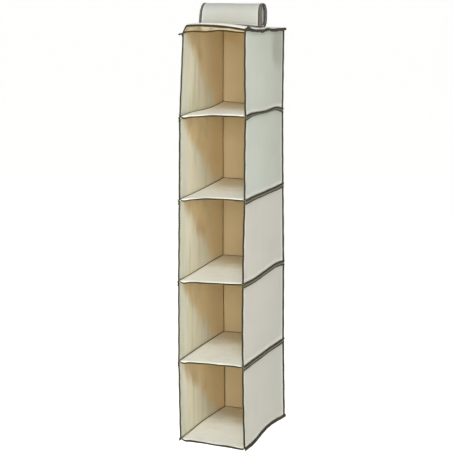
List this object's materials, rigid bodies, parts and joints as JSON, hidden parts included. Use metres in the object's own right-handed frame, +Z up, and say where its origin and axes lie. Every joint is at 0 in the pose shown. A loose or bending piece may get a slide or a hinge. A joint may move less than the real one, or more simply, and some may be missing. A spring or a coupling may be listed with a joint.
{
  "type": "hanging shoe organizer",
  "caption": "Tall narrow hanging fabric shelf unit for shoes with open-front compartments, dark bound seams and a wide strap that loops over a closet rail.",
  "frame": {"origin": "centre of the strap's loop, which is where the closet rail's axis runs", "axes": "+X along the rail to the right, -Y towards the open fronts of the compartments, +Z up"},
  "size_m": [0.168, 0.307, 1.044],
  "materials": {
    "canvas": "matt non-woven cloth, light grey cream outside and tan cream inside",
    "binding_tape": "dark olive brown woven tape, matt",
    "board": "grey-brown fibreboard, matt",
    "hook_and_loop": "fuzzy loop and stiff hook pile"
  },
  "bodies": {
    "top": {"strap_rear": "canvas", "strap_rear_bindings": "binding_tape", "closure_tab": "canvas", "loop_tape": "hook_and_loop", "top_cover": "canvas", "top_board": "board", "top_binding": "binding_tape", "top_fascia": "canvas", "left_wall_1": "canvas", "right_wall_1": "canvas", "back_wall_1": "canvas", "front_edge_tapes_1": "binding_tape", "rear_edge_tapes_1": "binding_tape"},
    "flap": {"strap_flap": "canvas", "strap_flap_bindings": "binding_tape", "hook_tape": "hook_and_loop"},
    "tier_1": {"shelf_cover_1": "canvas", "shelf_board_1": "board", "seam_binding_1": "binding_tape", "shelf_trim_1": "binding_tape", "left_wall_2": "canvas", "right_wall_2": "canvas", "back_wall_2": "canvas", "front_edge_tapes_2": "binding_tape", "rear_edge_tapes_2": "binding_tape"},
    "tier_2": {"shelf_cover_2": "canvas", "shelf_board_2": "board", "seam_binding_2": "binding_tape", "shelf_trim_2": "binding_tape", "left_wall_3": "canvas", "right_wall_3": "canvas", "back_wall_3": "canvas", "front_edge_tapes_3": "binding_tape", "rear_edge_tapes_3": "binding_tape"},
    "tier_3": {"shelf_cover_3": "canvas", "shelf_board_3": "board", "seam_binding_3": "binding_tape", "shelf_trim_3": "binding_tape", "left_wall_4": "canvas", "right_wall_4": "canvas", "back_wall_4": "canvas", "front_edge_tapes_4": "binding_tape", "rear_edge_tapes_4": "binding_tape"},
    "tier_4": {"shelf_cover_4": "canvas", "shelf_board_4": "board", "seam_binding_4": "binding_tape", "shelf_trim_4": "binding_tape", "left_wall_5": "canvas", "right_wall_5": "canvas", "back_wall_5": "canvas", "front_edge_tapes_5": "binding_tape", "rear_edge_tapes_5": "binding_tape"},
    "tier_5": {"shelf_cover_5": "canvas", "shelf_board_5": "board", "seam_binding_5": "binding_tape", "shelf_trim_5": "binding_tape"}
  },
  "joints": [
    {"name": "strap_open", "type": "hinge", "parent": "top", "child": "flap", "pos_m": [0, -0.01626, 0.01626], "axis": [-1, 0, 0], "range_deg": [0, 110]},
    {"name": "fold_1", "type": "slide", "parent": "top", "child": "tier_1", "axis": [0, 0, 1], "range_m": [0, 0.17], "deforming": ["left_wall_1", "right_wall_1", "back_wall_1", "front_edge_tapes_1", "rear_edge_tapes_1"]},
    {"name": "fold_2", "type": "slide", "parent": "tier_1", "child": "tier_2", "axis": [0, 0, 1], "range_m": [0, 0.17], "deforming": ["left_wall_2", "right_wall_2", "back_wall_2", "front_edge_tapes_2", "rear_edge_tapes_2"]},
    {"name": "fold_3", "type": "slide", "parent": "tier_2", "child": "tier_3", "axis": [0, 0, 1], "range_m": [0, 0.17], "deforming": ["left_wall_3", "right_wall_3", "back_wall_3", "front_edge_tapes_3", "rear_edge_tapes_3"]},
    {"name": "fold_4", "type": "slide", "parent": "tier_3", "child": "tier_4", "axis": [0, 0, 1], "range_m": [0, 0.17], "deforming": ["left_wall_4", "right_wall_4", "back_wall_4", "front_edge_tapes_4", "rear_edge_tapes_4"]},
    {"name": "fold_5", "type": "slide", "parent": "tier_4", "child": "tier_5", "axis": [0, 0, 1], "range_m": [0, 0.17], "deforming": ["left_wall_5", "right_wall_5", "back_wall_5", "front_edge_tapes_5", "rear_edge_tapes_5"]}
  ]
}
